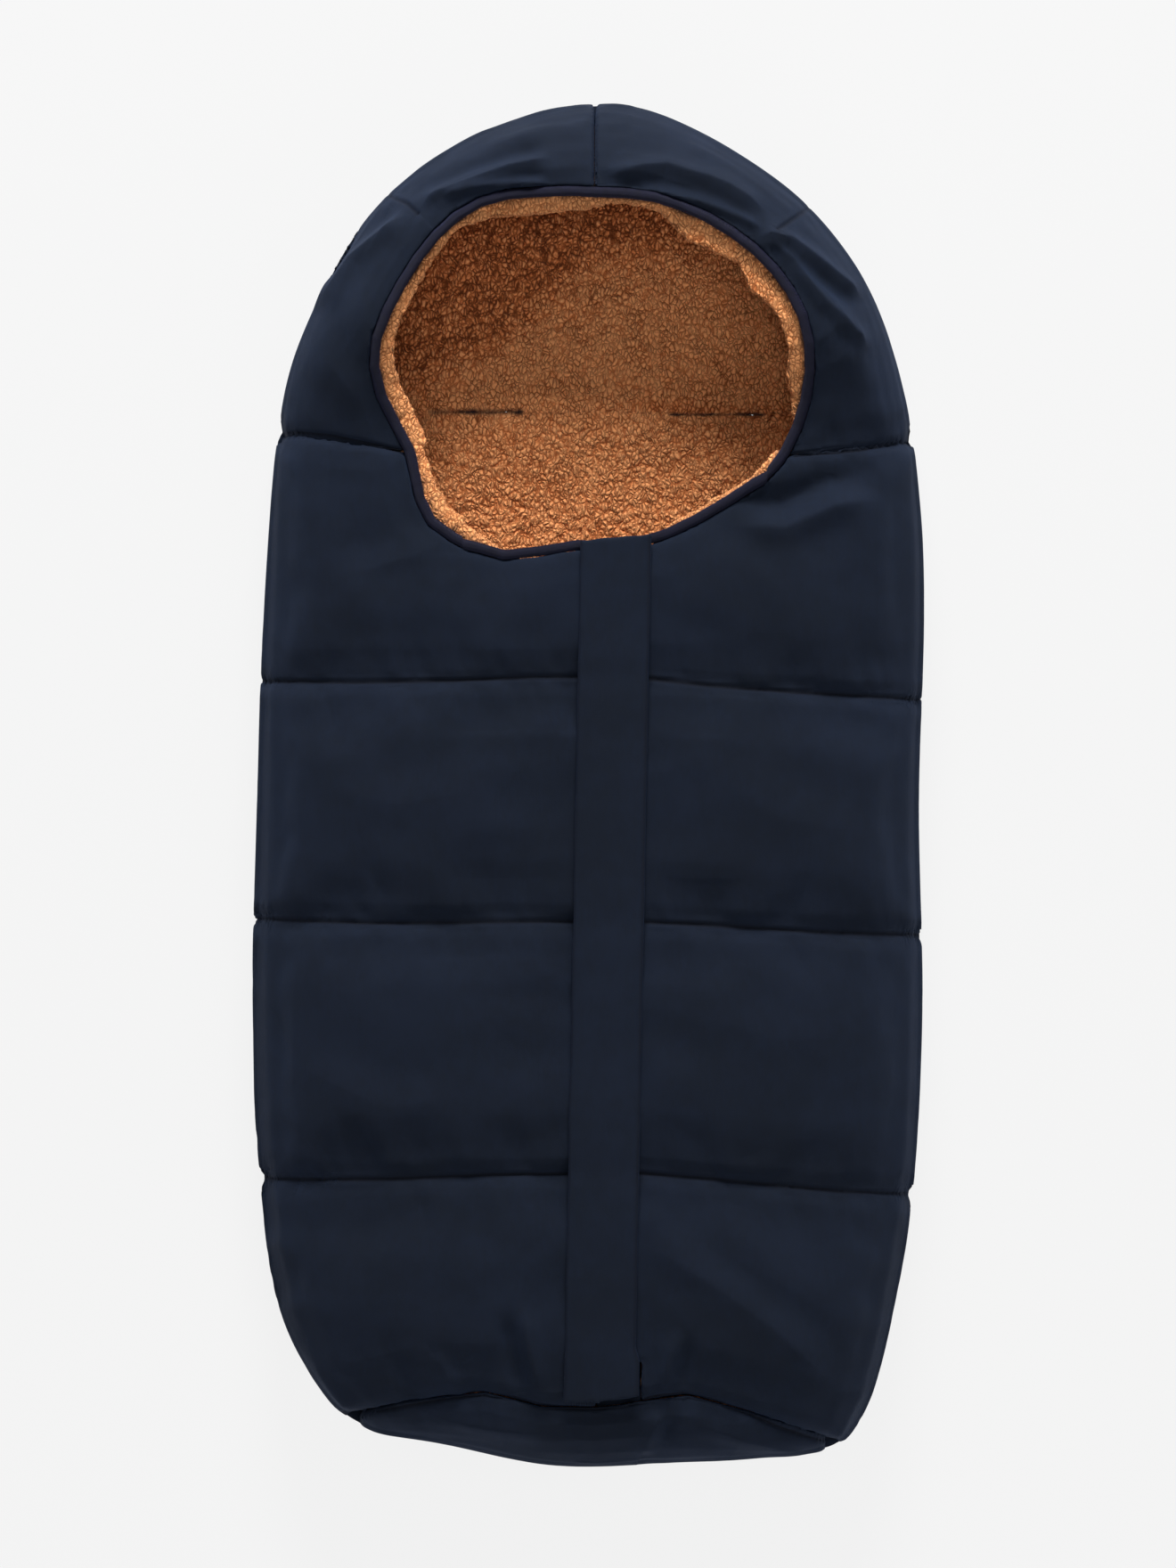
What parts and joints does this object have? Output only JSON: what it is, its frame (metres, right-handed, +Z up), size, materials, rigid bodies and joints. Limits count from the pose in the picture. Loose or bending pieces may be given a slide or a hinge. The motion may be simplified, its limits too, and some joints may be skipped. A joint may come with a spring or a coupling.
{
  "type": "stroller footmuff",
  "caption": "Padded hooded footmuff with channel-quilted shell, teddy lining, bound face opening, a centre zip under a sewn flap, fold-back front edges and harness slots.",
  "frame": {"origin": "middle of the bounding box's footprint, on the surface that the back lies on", "axes": "+Y from the foot towards the hood, +Z up out of the front, +X towards the picture's right"},
  "size_m": [0.4, 0.8093, 0.1118],
  "materials": {
    "navy_softshell": "matt",
    "teddy_lining": "curly pile",
    "teddy_lining_back": "curly pile",
    "navy_binding": "woven tape",
    "zip_black": "satin",
    "zip_tape": "woven",
    "pull_metal": "satin"
  },
  "bodies": {
    "muff": {"back_shell": "navy_softshell", "back_lining": "teddy_lining_back", "hood_back_lining": "teddy_lining_back", "hood_left": "navy_softshell", "hood_right": "navy_softshell", "hood_lining": "teddy_lining", "binding_hood": "navy_binding", "front_left_side": "navy_softshell", "front_left_side_lining": "teddy_lining", "front_right_side": "navy_softshell", "front_right_side_lining": "teddy_lining", "foot_gusset": "navy_softshell", "foot_gusset_lining": "teddy_lining", "zip_foot_bridge": "navy_softshell", "zip_bottom_stop": "zip_black", "shoulder_slot_left": "navy_binding", "shoulder_slot_right": "navy_binding", "crotch_slot": "navy_binding"},
    "right_lapel": {"front_right_lapel": "navy_softshell", "front_right_lapel_lining": "teddy_lining", "binding_right_lapel": "navy_binding", "zip_tape_right": "zip_tape", "zip_teeth_right": "zip_black", "zip_top_stop_right": "zip_black"},
    "left_lapel": {"front_left_lapel": "navy_softshell", "front_left_lapel_lining": "teddy_lining", "binding_left_lapel": "navy_binding", "zip_tape_left": "zip_tape", "zip_teeth_left": "zip_black", "zip_top_stop_left": "zip_black"},
    "slider": {"zip_slider": "pull_metal"},
    "pull": {"zip_pull": "pull_metal"},
    "flap": {"zip_flap": "navy_softshell"}
  },
  "joints": [
    {"name": "right_fold", "type": "hinge", "parent": "muff", "child": "right_lapel", "pos_m": [0.03101, -0.34, 0.09222], "axis": [0.14, 0.9901, -0.0069], "range_deg": [0, 100]},
    {"name": "left_fold", "type": "hinge", "parent": "muff", "child": "left_lapel", "pos_m": [0.005, -0.34, 0.09222], "axis": [0.1601, -0.9871, 0.0069], "range_deg": [0, 72]},
    {"name": "flap_lift", "type": "hinge", "parent": "right_lapel", "child": "flap", "pos_m": [0.0275, -0.366, 0.0969], "axis": [0.0195, 0.9998, -0.007], "range_deg": [0, 80]},
    {"name": "zip_slide", "type": "slide", "parent": "right_lapel", "child": "slider", "axis": [-0.0195, -0.9998, 0.007], "range_m": [0, 0.446], "deforming": ["zip_tape_right", "zip_teeth_right", "zip_tape_left", "zip_teeth_left"]},
    {"name": "pull_tilt", "type": "hinge", "parent": "slider", "child": "pull", "pos_m": [0.02396, 0.11907, 0.0802], "axis": [-0.9998, 0.0195, 0], "range_deg": [0, 36]}
  ],
  "couplings": [
    {"joint": "left_fold", "follows": "right_fold", "ratio": 0.72},
    {"joint": "pull_tilt", "follows": "flap_lift", "ratio": 0.45}
  ]
}
